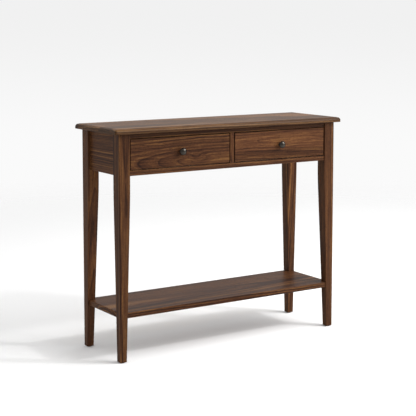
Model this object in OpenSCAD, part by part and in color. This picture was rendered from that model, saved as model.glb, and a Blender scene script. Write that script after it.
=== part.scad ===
// Console table with two drawers and a lower shelf, in solid walnut.
// Millimetres, +Z up. The origin is on the floor, under the middle of the table.
// +X runs along the table's length and -Y is the side that the drawers open to.

/* [Overall] */
// Length of the top
table_l = 960; // [780:5:1200]
// Depth of the top
table_d = 303; // [250:1:400]
// Height from the floor to the top's upper face
table_h = 800; // [660:5:960]

/* [Top] */
// Thickness of the top
top_t = 18; // [15:0.5:26]
// How far the top stands out past the legs at each end
overhang_side = 21.5; // [10:0.5:40]
// How far the top stands out past the legs at the front and at the back
overhang_front = 17; // [10:1:30]
// Radius of the top's rounded upper edge
top_edge_r = 11; // [4:0.5:13]
// Depth of the small step between the rounded edge and the flat
top_step = 0.8; // [0.3:0.1:1.5]
// Radius of the top's corners, seen from above
top_corner_r = 7.5; // [3:0.5:15]

/* [Legs] */
// Width of each leg at the aprons
leg_w = 42.5; // [33:0.5:50]
// Width of each leg at the floor
foot_w = 25; // [20:0.5:33]
// Distance from the aprons down to where the taper starts
taper_gap = 62; // [20:1:150]
// Size of the bevel round each foot
foot_bevel = 1.5; // [0.5:0.1:3]

/* [Aprons and rails] */
// Height of the aprons, over which the legs stay square
apron_h = 143; // [118:1:180]
// Thickness of the side and rear aprons
apron_t = 18; // [14:0.5:20]
// Distance from the legs' outer faces in to the aprons
apron_setback = 10; // [3:0.5:10]
// Distance from the legs' front faces back to the rails and drawer fronts
rail_setback = 3.5; // [1:0.5:8]
// Depth of the two front rails, front to back
rail_d = 45; // [36:1:60]
// Thickness of the rail over the drawers
upper_rail_t = 17; // [14:0.5:24]
// Thickness of the rail under the drawers
lower_rail_t = 18; // [14:0.5:24]
// Thickness of the divider between the drawers
divider_t = 16; // [12:0.5:30]

/* [Joinery] */
// Thickness of every tenon
tenon_t = 8; // [6:0.5:9]
// Shoulder at the ends of the tenons
shoulder = 6; // [3:0.5:8]
// Wood left in a leg behind the side apron's tenon
mortise_floor = 14; // [8:1:18]
// Wood left in a leg between two tenons that come in from two sides
tenon_space = 2; // [1:0.5:3]
// Length of the stub tenons on the divider, the runners and the kickers
stub_l = 8; // [5:0.5:10]

/* [Drawer carriage] */
// Width of the side runners that shows inside the legs
runner_in = 24; // [18:1:40]
// Width of the centre runner and the centre kicker
centre_w = 56; // [50:1:80]
// Height of the drawer guides
guide_h = 20; // [12:1:35]
// Width of each drawer stop
stop_w = 60; // [20:1:120]
// Height of each drawer stop
stop_h = 30; // [15:1:50]

/* [Drawers] */
// Gap round each drawer front
front_gap = 2.6; // [1:0.1:4]
// Gap between a drawer front and the leg or divider at each end
side_gap = 4; // [1:0.1:5]
// Gap between a drawer side and its guide
guide_gap = 0.8; // [0.4:0.1:2]
// Gap between a drawer side and the runner that it slides on
run_gap = 0.4; // [0.3:0.1:1]
// Gap between a drawer side and the kicker above it
kick_gap = 3; // [1:0.5:6]
// Gap between a closed drawer and its stop
stop_gap = 0.3; // [0.3:0.1:1]
// Thickness of the drawer fronts
front_t = 18; // [15:0.5:24]
// Distance between the drawer sides' rear ends and the rear apron
rear_gap = 21; // [10:1:60]
// Thickness of the drawer sides
side_t = 12; // [10:0.5:15]
// Thickness of the drawer back
back_t = 12; // [8:0.5:15]
// Distance from the sides' rear ends in to the drawer back
back_inset = 6; // [2:0.5:10]
// Distance from the sides' upper edge down to the back's
back_drop = 8; // [0:1:20]
// Thickness of the drawer bottom
bottom_t = 6; // [4:0.5:8]
// Distance from the sides' lower edge up to the drawer bottom
bottom_up = 8; // [5:0.5:15]
// Depth of the grooves and housings in the drawer sides and front
groove_d = 5; // [3:0.5:6]
// Length of the dovetails that hold the sides in the front
tail_l = 12; // [8:0.5:13]
// Number of dovetails on each corner
tail_n = 3; // [2:1:4]
// Width of the pin between two dovetails, at its narrow end
pin_w = 9; // [6:0.5:12]
// Slope of the dovetails, as widening over length
tail_slope = 0.14; // [0.1:0.01:0.2]

/* [Knobs] */
// Diameter of a knob's head
knob_d = 26; // [18:0.5:34]
// How far a knob stands out from the drawer front
knob_l = 21; // [16:0.5:24]
// Diameter of a knob's neck
neck_d = 11; // [8:0.5:14]
// Diameter of a knob's foot
knob_foot_d = 16; // [12:0.5:20]
// Thickness of a knob's foot
knob_foot_t = 1.6; // [1:0.1:3]
// Radius of the head's rim
rim_r = 2.6; // [1.5:0.1:3.5]
// Height of the dome on the head
dome_h = 4.5; // [2:0.5:6]

/* [Shelf] */
// Height of the shelf's upper face
shelf_z = 172; // [120:1:300]
// Thickness of the shelf
shelf_t = 19.5; // [14:0.5:24]
// Distance from the legs' outer faces in to the shelf's ends
shelf_in_x = 6; // [2:0.5:10]
// Distance from the legs' outer faces in to the shelf's long edges
shelf_in_y = 3.5; // [2:0.5:10]
// Diameter of the dowels that hold the shelf
dowel_d = 8; // [5:0.5:10]
// Length of each dowel inside the leg
dowel_in_leg = 14; // [8:1:16]
// Length of each dowel inside the shelf
dowel_in_shelf = 18; // [10:1:30]

/* [Fasteners and glides] */
// Shank diameter of the wood screws
screw_d = 4; // [3:0.5:5]
// Head diameter of the wood screws
screw_head_d = 8; // [6:0.5:10]
// Height of the wood screws' countersunk heads
screw_head_h = 2.6; // [1.5:0.1:4]
// Gap between a screw and the hole that it passes through
screw_gap = 0.3; // [0.2:0.1:0.6]
// Length of screw that bites into the second piece
screw_bite = 12; // [8:1:13]
// Shank diameter of the drawer bottoms' screws
small_screw_d = 3; // [2:0.5:3.5]
// Diameter of a knob's screw
knob_screw_d = 4; // [3:0.5:5]
// Head diameter of a knob's screw
knob_screw_head_d = 8; // [7:0.5:10]
// Length of a knob's screw inside the knob
knob_screw_in = 11; // [6:1:13]
// Diameter of the glide under each foot
glide_d = 17; // [12:0.5:19]
// Thickness of each glide
glide_t = 2.5; // [1.5:0.5:5]
// Diameter of each glide's pin
pin_d = 2.5; // [2:0.5:4]
// Length of each glide's pin
pin_l = 14; // [8:1:20]

/* [Hidden] */

$fn = 48;
cut = 1;                                  // how far a cutting shape stands out of a face

WALNUT = "#6a4630";
WALNUT_DARK = "#4f3424";
MAPLE = "#cfb48a";
BIRCH = "#d9c49c";
PEWTER = "#56524e";
STEEL = "#9a9a98";
NYLON = "#2c2a28";

// Outer faces of the legs
leg_x = table_l / 2 - overhang_side;
leg_y = table_d / 2 - overhang_front;
// Inner faces of the legs at the aprons
leg_in_x = leg_x - leg_w;
leg_in_y = leg_y - leg_w;
// The frame under the top, from the aprons' lower edge to the top's lower face
frame_z1 = table_h - top_t;
frame_z0 = frame_z1 - apron_h;
taper_z = frame_z0 - taper_gap;
// Inner faces of the side and rear aprons
apron_in_x = leg_x - apron_setback - apron_t;
apron_in_y = leg_y - apron_setback - apron_t;
// The drawers' opening
open_z0 = frame_z0 + lower_rail_t;
open_z1 = frame_z1 - upper_rail_t;
front_y = -leg_y + rail_setback;
rail_back_y = front_y + rail_d;
// Tenons: the side aprons' run along Y, the rear apron's and the rails' along X
tenon_in = apron_setback + apron_t / 2;
side_tenon_l = leg_w - mortise_floor;
long_tenon_l = leg_w - tenon_in - tenon_t / 2 - tenon_space;
tenon_z0 = frame_z0 + 2 * shoulder;
tenon_h = apron_h - 4 * shoulder;
rail_tenon_t = tenon_t;
stub_t = tenon_t;
// Drawers
front_w = leg_in_x - divider_t / 2 - 2 * side_gap;
front_z0 = open_z0 + front_gap;
front_h = open_z1 - open_z0 - 2 * front_gap;
drawer_x = (leg_in_x + divider_t / 2) / 2;
side_z0 = open_z0 + run_gap;
side_z1 = open_z1 - kick_gap;
side_in = front_w / 2 - side_t;
front_back_y = front_y + front_t;
drawer_end_y = apron_in_y - rear_gap;
back_y1 = drawer_end_y - back_inset;
back_y0 = back_y1 - back_t;
bottom_z0 = side_z0 + bottom_up;
bottom_z1 = bottom_z0 + bottom_t;
tail_pitch = front_h / tail_n;
tail_w = tail_pitch - pin_w;
bottom_screw_x = front_w / 4;
// Knobs
knob_z = front_z0 + front_h / 2;
head_back = knob_l - dome_h - 2 * rim_r;
// Shelf and its dowels
shelf_mid_z = shelf_z - shelf_t / 2;
// Places of the screws that hold the top, and of those in the guides
kicker_x = leg_in_x - runner_in / 2;
screw_y = leg_in_y * 0.6;
rail_screw_x = drawer_x;
rail_screw_y = (front_y + rail_back_y) / 2;
top_screw_l = upper_rail_t + screw_bite;
guide_z = open_z0 + guide_h / 2;
guide_pad = max(side_gap - guide_gap, 0);
side_guide_t = apron_in_x - leg_in_x + guide_pad;

function leg_w_at(z) =
    foot_w + (leg_w - foot_w) * min(1, max(0, (z - glide_t) / (taper_z - glide_t)));

// ---------- helpers ----------

// A box from its lowest corner to its highest one
module block(lo, hi) {
    translate(lo) cube(hi - lo);
}

// Carries a child made for the rear right corner to the corner of the given signs
module corner(sx, sy) {
    mirror([sx < 0 ? 1 : 0, 0, 0]) mirror([0, sy < 0 ? 1 : 0, 0]) children();
}

// A countersunk wood screw whose head is flush with z = 0 and whose shank points up
module wood_screw(d, head_d, l) {
    difference() {
        union() {
            cylinder(d1 = head_d, d2 = d, h = screw_head_h);
            cylinder(d = d, h = l);
        }
        for (turn = [0, 90]) {
            rotate([0, 0, turn])
                translate([-head_d * 0.3, -head_d * 0.06, -cut])
                    cube([head_d * 0.6, head_d * 0.12, cut + screw_head_h * 0.5]);
        }
    }
}

// The hole for such a screw: clear through the first piece and tight in the second
module screw_hole(d, head_d, l, first) {
    cylinder(d1 = head_d, d2 = d, h = screw_head_h);
    cylinder(d = d, h = l);
    cylinder(d = d + 2 * screw_gap, h = first);
}

// ---------- legs ----------

// Outline of a leg from one side: x is the distance in from the outer face
module leg_outline() {
    polygon([
        [foot_bevel, glide_t],
        [foot_w - foot_bevel, glide_t],
        [leg_w_at(glide_t + foot_bevel), glide_t + foot_bevel],
        [leg_w, taper_z],
        [leg_w, frame_z1],
        [0, frame_z1],
        [0, glide_t + foot_bevel]
    ]);
}

// The leg at the rear right corner, tapered on its two inner faces only
module leg_body() {
    intersection() {
        translate([leg_x, leg_y + cut, 0])
            rotate([90, 0, 0])
                mirror([1, 0, 0]) linear_extrude(leg_w + 2 * cut) leg_outline();
        translate([leg_x + cut, leg_y, 0])
            rotate([90, 0, -90])
                linear_extrude(leg_w + 2 * cut) leg_outline();
    }
}

// Tenon of a side apron, in the rear right corner
module side_tenon() {
    block([leg_x - tenon_in - tenon_t / 2, leg_in_y, tenon_z0],
          [leg_x - tenon_in + tenon_t / 2, leg_in_y + side_tenon_l, tenon_z0 + tenon_h]);
}

// Tenon of the rear apron, in the rear right corner
module rear_tenon() {
    block([leg_in_x, leg_y - tenon_in - tenon_t / 2, tenon_z0],
          [leg_in_x + long_tenon_l, leg_y - tenon_in + tenon_t / 2, tenon_z0 + tenon_h]);
}

// Tenon of a front rail at its right end, with the rail's middle at height z
module rail_tenon(z) {
    block([leg_in_x, front_y + shoulder, z - rail_tenon_t / 2],
          [leg_in_x + long_tenon_l, -leg_in_y - shoulder, z + rail_tenon_t / 2]);
}

module both_rail_tenons() {
    rail_tenon(open_z1 + upper_rail_t / 2);
    rail_tenon(frame_z0 + lower_rail_t / 2);
}

// The dowel between the leg and the shelf, in the rear right corner
module shelf_dowel() {
    face_x = leg_x - leg_w_at(shelf_mid_z);
    translate([face_x - dowel_in_shelf, leg_y - leg_w_at(shelf_mid_z) / 2, shelf_mid_z])
        rotate([0, 90, 0])
            cylinder(d = dowel_d, h = dowel_in_shelf + dowel_in_leg);
}

// The glide under the foot at the rear right corner
module glide() {
    translate([leg_x - foot_w / 2, leg_y - foot_w / 2, 0]) {
        cylinder(d = glide_d, h = glide_t);
        cylinder(d = pin_d, h = glide_t + pin_l);
    }
}

module leg(sx, sy) {
    color(WALNUT)
        difference() {
            corner(sx, sy) leg_body();
            corner(sx, sy) side_tenon();
            if (sy > 0) corner(sx, sy) rear_tenon();
            if (sy < 0) corner(sx, 1) both_rail_tenons();
            corner(sx, sy) shelf_dowel();
            corner(sx, sy) glide();
        }
}

module front_left_leg() { leg(-1, -1); }
module front_right_leg() { leg(1, -1); }
module rear_left_leg() { leg(-1, 1); }
module rear_right_leg() { leg(1, 1); }

module floor_glides() {
    color(NYLON)
        for (sx = [-1, 1], sy = [-1, 1]) corner(sx, sy) glide();
}

// ---------- top ----------

// Outline of the top's edge along half of its width w, from the middle outwards
module top_section(w) {
    flat_z = top_t - top_step;
    round_x = w / 2 - top_edge_r;
    square([round_x - top_step, top_t]);
    square([round_x, flat_z]);
    square([w / 2, flat_z - top_edge_r]);
    translate([round_x, flat_z - top_edge_r])
        intersection() {
            circle(r = top_edge_r);
            square(top_edge_r);
        }
}

// The whole edge outline, drawn out over the length l
module top_bar(w, l) {
    rotate([90, 0, 0])
        translate([0, 0, -l / 2])
            linear_extrude(l) {
                top_section(w);
                mirror([1, 0]) top_section(w);
            }
}

// The top seen from above
module top_outline() {
    square([table_l - 2 * top_corner_r, table_d], center = true);
    square([table_l, table_d - 2 * top_corner_r], center = true);
    for (sx = [-1, 1], sy = [-1, 1])
        translate([sx * (table_l / 2 - top_corner_r), sy * (table_d / 2 - top_corner_r)])
            circle(r = top_corner_r);
}

// Places of the screws that hold the top, at the lower face of the kickers and the rail
module at_top_screws() {
    for (sx = [-1, 0, 1], sy = [-1, 1])
        translate([sx * kicker_x, sy * screw_y, open_z1]) children();
    for (sx = [-1, 1])
        translate([sx * rail_screw_x, rail_screw_y, open_z1]) children();
}

module top_screw_holes() {
    at_top_screws() screw_hole(screw_d, screw_head_d, top_screw_l, upper_rail_t);
}

module table_top() {
    color(WALNUT)
        difference() {
            translate([0, 0, frame_z1])
                intersection() {
                    top_bar(table_l, table_d + 2 * cut);
                    rotate([0, 0, 90]) top_bar(table_d, table_l + 2 * cut);
                    linear_extrude(top_t) top_outline();
                }
            top_screw_holes();
        }
}

module top_screws() {
    color(STEEL) at_top_screws() wood_screw(screw_d, screw_head_d, top_screw_l);
}

// ---------- aprons ----------

module side_apron(sx) {
    color(WALNUT_DARK)
        difference() {
            union() {
                corner(sx, 1)
                    block([apron_in_x, -leg_in_y, frame_z0],
                          [apron_in_x + apron_t, leg_in_y, frame_z1]);
                for (sy = [-1, 1]) corner(sx, sy) side_tenon();
            }
            guide_screw_holes();
        }
}

module left_side_apron() { side_apron(-1); }
module right_side_apron() { side_apron(1); }

module rear_apron() {
    color(WALNUT_DARK)
        difference() {
            union() {
                block([-leg_in_x, apron_in_y, frame_z0],
                      [leg_in_x, apron_in_y + apron_t, frame_z1]);
                for (sx = [-1, 1]) corner(sx, 1) rear_tenon();
            }
            all_stubs();
        }
}

// ---------- front rails and divider ----------

// The divider between the drawers, with a stub tenon in each rail
module divider_body() {
    block([-divider_t / 2, front_y, open_z0], [divider_t / 2, rail_back_y, open_z1]);
    block([-stub_t / 2, front_y + shoulder, open_z0 - stub_l],
          [stub_t / 2, rail_back_y - stub_l - shoulder, open_z1 + stub_l]);
}

module front_rail(z0, t) {
    color(WALNUT)
        difference() {
            union() {
                block([-leg_in_x, front_y, z0], [leg_in_x, rail_back_y, z0 + t]);
                for (sx = [-1, 1]) corner(sx, 1) rail_tenon(z0 + t / 2);
            }
            divider_body();
            all_stubs();
            top_screw_holes();
        }
}

module upper_front_rail() { front_rail(open_z1, upper_rail_t); }
module lower_front_rail() { front_rail(frame_z0, lower_rail_t); }
module centre_divider() { color(WALNUT) divider_body(); }

// ---------- runners, kickers, guides and stops ----------

// Stub tenons at both ends of a runner or kicker, from x0 to x1 and centred on height z
module stubs(x0, x1, z) {
    block([x0 + shoulder, rail_back_y - stub_l, z - stub_t / 2],
          [x1 - shoulder, apron_in_y + stub_l, z + stub_t / 2]);
}

// The same tenons for all six runners and kickers
module all_stubs() {
    for (z = [frame_z0 + lower_rail_t / 2, open_z1 + upper_rail_t / 2]) {
        stubs(-centre_w / 2, centre_w / 2, z);
        for (sx = [-1, 1]) corner(sx, 1) stubs(leg_in_x - runner_in, leg_in_x, z);
    }
}

// A runner or kicker beside the side apron, let in round the rear leg
module side_carrier(sx, z0, t) {
    color(MAPLE)
        difference() {
            corner(sx, 1) {
                block([leg_in_x - runner_in, rail_back_y, z0], [leg_in_x, apron_in_y, z0 + t]);
                block([leg_in_x - cut, rail_back_y, z0], [apron_in_x, leg_in_y, z0 + t]);
                stubs(leg_in_x - runner_in, leg_in_x, z0 + t / 2);
            }
            top_screw_holes();
        }
}

// A runner or kicker in the middle
module centre_carrier(z0, t) {
    color(MAPLE)
        difference() {
            union() {
                block([-centre_w / 2, rail_back_y, z0], [centre_w / 2, apron_in_y, z0 + t]);
                stubs(-centre_w / 2, centre_w / 2, z0 + t / 2);
            }
            top_screw_holes();
            guide_screw_holes();
        }
}

module left_runner() { side_carrier(-1, frame_z0, lower_rail_t); }
module right_runner() { side_carrier(1, frame_z0, lower_rail_t); }
module centre_runner() { centre_carrier(frame_z0, lower_rail_t); }
module left_kicker() { side_carrier(-1, open_z1, upper_rail_t); }
module right_kicker() { side_carrier(1, open_z1, upper_rail_t); }
module centre_kicker() { centre_carrier(open_z1, upper_rail_t); }

// Places of the guides' screws: level into the side aprons and down into the runner
module at_side_guide_screws() {
    for (sx = [-1, 1], sy = [-1, 1])
        corner(sx, 1)
            translate([leg_in_x - guide_pad, sy * screw_y, guide_z])
                rotate([0, 90, 0]) children();
}

module at_centre_guide_screws() {
    for (sy = [-1, 1])
        translate([0, sy * screw_y, open_z0 + guide_h]) rotate([180, 0, 0]) children();
}

module guide_screw_holes() {
    at_side_guide_screws()
        screw_hole(screw_d, screw_head_d, side_guide_t + screw_bite, side_guide_t);
    at_centre_guide_screws()
        screw_hole(screw_d, screw_head_d, guide_h + screw_bite, guide_h);
}

module guide_screws() {
    color(STEEL) {
        at_side_guide_screws() wood_screw(screw_d, screw_head_d, side_guide_t + screw_bite);
        at_centre_guide_screws() wood_screw(screw_d, screw_head_d, guide_h + screw_bite);
    }
}

module side_guide(sx) {
    color(MAPLE)
        difference() {
            corner(sx, 1)
                block([leg_in_x - guide_pad, -leg_in_y, open_z0],
                      [apron_in_x, leg_in_y, open_z0 + guide_h]);
            guide_screw_holes();
        }
}

module left_guide() { side_guide(-1); }
module right_guide() { side_guide(1); }

module centre_guide() {
    color(MAPLE)
        difference() {
            block([-divider_t / 2 - guide_pad, rail_back_y, open_z0],
                  [divider_t / 2 + guide_pad, apron_in_y, open_z0 + guide_h]);
            guide_screw_holes();
        }
}

module drawer_stop(sx) {
    color(MAPLE)
        corner(sx, 1)
            block([drawer_x - stop_w / 2, back_y1 + stop_gap, knob_z - stop_h / 2],
                  [drawer_x + stop_w / 2, apron_in_y, knob_z + stop_h / 2]);
}

module left_drawer_stop() { drawer_stop(-1); }
module right_drawer_stop() { drawer_stop(1); }

// ---------- shelf ----------

module lower_shelf() {
    shelf_x = leg_x - shelf_in_x;
    shelf_y = leg_y - shelf_in_y;
    color(WALNUT)
        difference() {
            block([-shelf_x, -shelf_y, shelf_z - shelf_t], [shelf_x, shelf_y, shelf_z]);
            for (sx = [-1, 1], sy = [-1, 1])
                corner(sx, sy) {
                    leg_body();
                    shelf_dowel();
                }
        }
}

module shelf_dowels() {
    color(BIRCH)
        for (sx = [-1, 1], sy = [-1, 1]) corner(sx, sy) shelf_dowel();
}

// ---------- drawers, made round x = 0 and carried to their places ----------

// Carries a child to the drawer of the given sign, so that +X is the outer side of it
module at_drawer(sx) {
    corner(sx, 1) translate([drawer_x, 0, 0]) children();
}

// The dovetails on the front end of the side at +X
module tails() {
    for (i = [0 : tail_n - 1])
        translate([side_in, 0, front_z0 + (i + 0.5) * tail_pitch])
            rotate([90, 0, 90])
                linear_extrude(side_t)
                    polygon([
                        [front_back_y - tail_l, -tail_w / 2],
                        [front_back_y - tail_l, tail_w / 2],
                        [front_back_y, tail_w / 2 - tail_slope * tail_l],
                        [front_back_y, -tail_w / 2 + tail_slope * tail_l]
                    ]);
}

module drawer_bottom_body() {
    block([-side_in - groove_d, front_back_y - groove_d, bottom_z0],
          [side_in + groove_d, back_y1, bottom_z1]);
}

module drawer_back_body() {
    block([-side_in - groove_d, back_y0, bottom_z1],
          [side_in + groove_d, back_y1, side_z1 - back_drop]);
}

// The screws that hold the bottom to the back, from below
module at_bottom_screws() {
    for (sx = [-1, 1])
        translate([sx * bottom_screw_x, (back_y0 + back_y1) / 2, bottom_z0]) children();
}

module bottom_screw_holes() {
    at_bottom_screws()
        screw_hole(small_screw_d, 2 * small_screw_d, bottom_t + screw_bite, bottom_t);
}

module drawer_front(sx) {
    color(WALNUT)
        at_drawer(sx)
            difference() {
                block([-front_w / 2, front_y, front_z0],
                      [front_w / 2, front_back_y, front_z0 + front_h]);
                for (s = [-1, 1]) corner(s, 1) tails();
                drawer_bottom_body();
                translate([0, front_y - cut, knob_z])
                    rotate([-90, 0, 0])
                        cylinder(d = knob_screw_d + 2 * screw_gap, h = front_t + 2 * cut);
            }
}

// A drawer side; s is 1 for the side next to the legs and -1 for the one at the divider
module drawer_side(sx, s) {
    color(MAPLE)
        at_drawer(sx)
            difference() {
                corner(s, 1) {
                    block([side_in, front_back_y, side_z0], [side_in + side_t, drawer_end_y, side_z1]);
                    tails();
                }
                drawer_bottom_body();
                drawer_back_body();
            }
}

module drawer_back(sx) {
    color(MAPLE)
        at_drawer(sx)
            difference() {
                drawer_back_body();
                bottom_screw_holes();
            }
}

module drawer_bottom(sx) {
    color(BIRCH)
        at_drawer(sx)
            difference() {
                drawer_bottom_body();
                bottom_screw_holes();
            }
}

module bottom_screws(sx) {
    color(STEEL)
        at_drawer(sx)
            at_bottom_screws()
                wood_screw(small_screw_d, 2 * small_screw_d, bottom_t + screw_bite);
}

// ---------- knobs ----------

// Carries a child from the axis +Z to a knob's axis, with z = 0 on the drawer front's face
module at_knob(sx) {
    at_drawer(sx) translate([0, front_y, knob_z]) rotate([90, 0, 0]) children();
}

// Half of a knob's outline: a foot, a neck and a domed head with a round rim
module knob_outline() {
    rim_x = knob_d / 2 - rim_r;
    dome_r = (rim_x * rim_x + dome_h * dome_h) / (2 * dome_h);
    square([knob_foot_d / 2, knob_foot_t]);
    square([neck_d / 2, head_back + rim_r]);
    translate([0, head_back]) square([rim_x, 2 * rim_r]);
    translate([rim_x, head_back + rim_r]) circle(r = rim_r);
    intersection() {
        translate([0, knob_l - dome_r]) circle(r = dome_r);
        translate([0, head_back + rim_r]) square([rim_x, knob_l]);
    }
}

module knob(sx) {
    color(PEWTER)
        at_knob(sx)
            difference() {
                rotate_extrude() knob_outline();
                translate([0, 0, -cut]) cylinder(d = knob_screw_d, h = knob_screw_in + cut);
            }
}

// The screw comes from inside the drawer, with a flat head on the front's inner face
module knob_screw(sx) {
    color(STEEL)
        at_knob(sx)
            difference() {
                union() {
                    translate([0, 0, -front_t]) cylinder(d = knob_screw_d, h = front_t + knob_screw_in);
                    translate([0, 0, -front_t - screw_head_h])
                        cylinder(d = knob_screw_head_d, h = screw_head_h);
                }
                for (turn = [0, 90])
                    rotate([0, 0, turn])
                        translate([-knob_screw_head_d * 0.3, -knob_screw_head_d * 0.06,
                                   -front_t - screw_head_h - cut])
                            cube([knob_screw_head_d * 0.6, knob_screw_head_d * 0.12,
                                  cut + screw_head_h * 0.5]);
            }
}

module left_drawer_front() { drawer_front(-1); }
module left_drawer_outer_side() { drawer_side(-1, 1); }
module left_drawer_inner_side() { drawer_side(-1, -1); }
module left_drawer_back() { drawer_back(-1); }
module left_drawer_bottom() { drawer_bottom(-1); }
module left_knob() { knob(-1); }
module left_knob_screw() { knob_screw(-1); }
module left_bottom_screws() { bottom_screws(-1); }
module right_drawer_front() { drawer_front(1); }
module right_drawer_outer_side() { drawer_side(1, 1); }
module right_drawer_inner_side() { drawer_side(1, -1); }
module right_drawer_back() { drawer_back(1); }
module right_drawer_bottom() { drawer_bottom(1); }
module right_knob() { knob(1); }
module right_knob_screw() { knob_screw(1); }
module right_bottom_screws() { bottom_screws(1); }

table_top();
front_left_leg();
front_right_leg();
rear_left_leg();
rear_right_leg();
upper_front_rail();
lower_front_rail();
centre_divider();
left_side_apron();
right_side_apron();
rear_apron();
left_runner();
centre_runner();
right_runner();
left_kicker();
centre_kicker();
right_kicker();
left_guide();
centre_guide();
right_guide();
left_drawer_stop();
right_drawer_stop();
lower_shelf();
shelf_dowels();
top_screws();
guide_screws();
floor_glides();
left_drawer_front();
left_drawer_outer_side();
left_drawer_inner_side();
left_drawer_back();
left_drawer_bottom();
left_knob();
left_knob_screw();
left_bottom_screws();
right_drawer_front();
right_drawer_outer_side();
right_drawer_inner_side();
right_drawer_back();
right_drawer_bottom();
right_knob();
right_knob_screw();
right_bottom_screws();
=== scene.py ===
"""Looks of a console table in solid walnut, with two drawers, tapered legs and a low shelf.

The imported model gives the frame: every size and place comes from its nodes, in metres, with +Z up
and -Y at the front. The top, the legs, the shelf and the knobs are new surfaces; every other piece
is the model's own, with eased edges and a wood or metal finish.
"""
import logging
import math
from dataclasses import dataclass
from enum import Enum

import bpy
import numpy as np
from mathutils import Euler, Matrix, Vector


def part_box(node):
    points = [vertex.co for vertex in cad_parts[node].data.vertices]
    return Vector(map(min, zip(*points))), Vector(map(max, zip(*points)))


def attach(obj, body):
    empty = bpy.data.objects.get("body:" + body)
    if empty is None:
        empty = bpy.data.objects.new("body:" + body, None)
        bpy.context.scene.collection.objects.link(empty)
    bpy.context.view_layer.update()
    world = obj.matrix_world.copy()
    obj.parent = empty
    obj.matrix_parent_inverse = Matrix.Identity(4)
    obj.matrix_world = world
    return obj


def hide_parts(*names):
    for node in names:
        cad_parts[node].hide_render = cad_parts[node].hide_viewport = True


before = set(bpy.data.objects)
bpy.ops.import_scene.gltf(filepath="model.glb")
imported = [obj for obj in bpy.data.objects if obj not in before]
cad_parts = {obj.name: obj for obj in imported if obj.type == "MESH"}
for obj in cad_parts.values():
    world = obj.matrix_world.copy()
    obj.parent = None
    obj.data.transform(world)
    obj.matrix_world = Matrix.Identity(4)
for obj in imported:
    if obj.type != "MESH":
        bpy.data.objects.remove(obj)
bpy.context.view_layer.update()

MM = 0.001
LOG = logging.getLogger("console_table")

WELD_DISTANCE = 0.001 * MM    # joins the corners of a mesh's loose triangles
SHARP_ANGLE = 40              # edges that turn by more than this many degrees are eased
FLAT_WEIGHT = 80              # how far large faces win over small ones when normals are mixed


# ---------- shapes ----------


def arc(start: float, end: float, steps: int) -> tuple[np.ndarray, np.ndarray]:
    """Cosines and sines of evenly spaced angles along an arc.

    Args:
        start: First angle, in degrees.
        end: Last angle, in degrees.
        steps: Number of angles, both ends included.

    Returns:
        The cosines and the sines.
    """
    angles = np.radians(np.linspace(start, end, steps))
    return np.cos(angles), np.sin(angles)


def rounded_rectangles(half: np.ndarray, radius: np.ndarray, steps: int) -> np.ndarray:
    """Outlines of rectangles with round corners, centred on the origin, one for each row.

    A corner's centre lies one radius in from both of its sides, and its points are that centre
    plus the radius times the cosine and sine of equal turns, anticlockwise.

    Args:
        half: Half sizes along the two axes, one row for each outline.
        radius: Corner radius of each outline.
        steps: Number of points on each corner.

    Returns:
        An array of rows by points by two.
    """
    turns = (np.arange(4)[:, None] + np.linspace(0.0, 1.0, steps)[None, :]) * math.pi / 2
    signs = np.array([[1, 1], [-1, 1], [-1, -1], [1, -1]])
    centres = signs[None, :, None, :] * (half - radius[:, None])[:, None, None, :]
    arcs = np.stack([np.cos(turns), np.sin(turns)], axis=-1)[None] * radius[:, None, None, None]
    return (centres + arcs).reshape(len(half), -1, 2)


def closed_surface(name: str, rings: np.ndarray, edge: np.ndarray) -> bpy.types.Object:
    """Makes one closed skin from rings of points and fills both ends.

    Each ring is joined to the next by a band of four-sided faces, and each end ring to its own
    middle point by a fan of triangles. Rings run anticlockwise as seen from where the last one
    lies, so that all the faces point outwards.

    Args:
        name: The piece's name.
        rings: Rows by points by three, in metres.
        edge: How much each row is an edge that hands touch, from 0 to 1.

    Returns:
        The new object, at the origin.
    """
    rows, columns = rings.shape[:2]
    here = np.arange(rows * columns).reshape(rows, columns)
    after = np.roll(here, -1, axis=1)
    quads = np.stack([here[:-1], after[:-1], after[1:], here[1:]], axis=-1).reshape(-1, 4)
    first, last = rows * columns, rows * columns + 1
    start_fan = np.stack([after[0], here[0], np.full(columns, first)], axis=-1)
    end_fan = np.stack([here[-1], after[-1], np.full(columns, last)], axis=-1)
    middles = np.stack([rings[0].mean(axis=0), rings[-1].mean(axis=0)])
    points = np.concatenate([rings.reshape(-1, 3), middles])

    mesh = bpy.data.meshes.new(name)
    mesh.from_pydata(points, [], quads.tolist() + start_fan.tolist() + end_fan.tolist())
    mesh.polygons.foreach_set("use_smooth", np.ones(len(mesh.polygons), dtype=bool))
    values = np.concatenate([np.repeat(edge, columns), edge[[0, -1]]]).astype(np.float32)
    mesh.attributes.new("edge", "FLOAT", "POINT").data.foreach_set("value", values)
    mesh.update()
    piece = bpy.data.objects.new(name, mesh)
    bpy.context.scene.collection.objects.link(piece)
    piece.modifiers.new("flat_faces", "WEIGHTED_NORMAL").weight = FLAT_WEIGHT
    return piece


def place(piece: bpy.types.Object, node: str, body: str, slot: str) -> None:
    """Puts a finished piece in a node's place and on its body.

    Args:
        piece: The piece.
        node: The node that it stands for.
        body: The body that it moves with.
        slot: Not used.
    """
    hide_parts(node)
    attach(piece, body)
    LOG.info("%s stands for %s on %s", piece.name, node, body)


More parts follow.
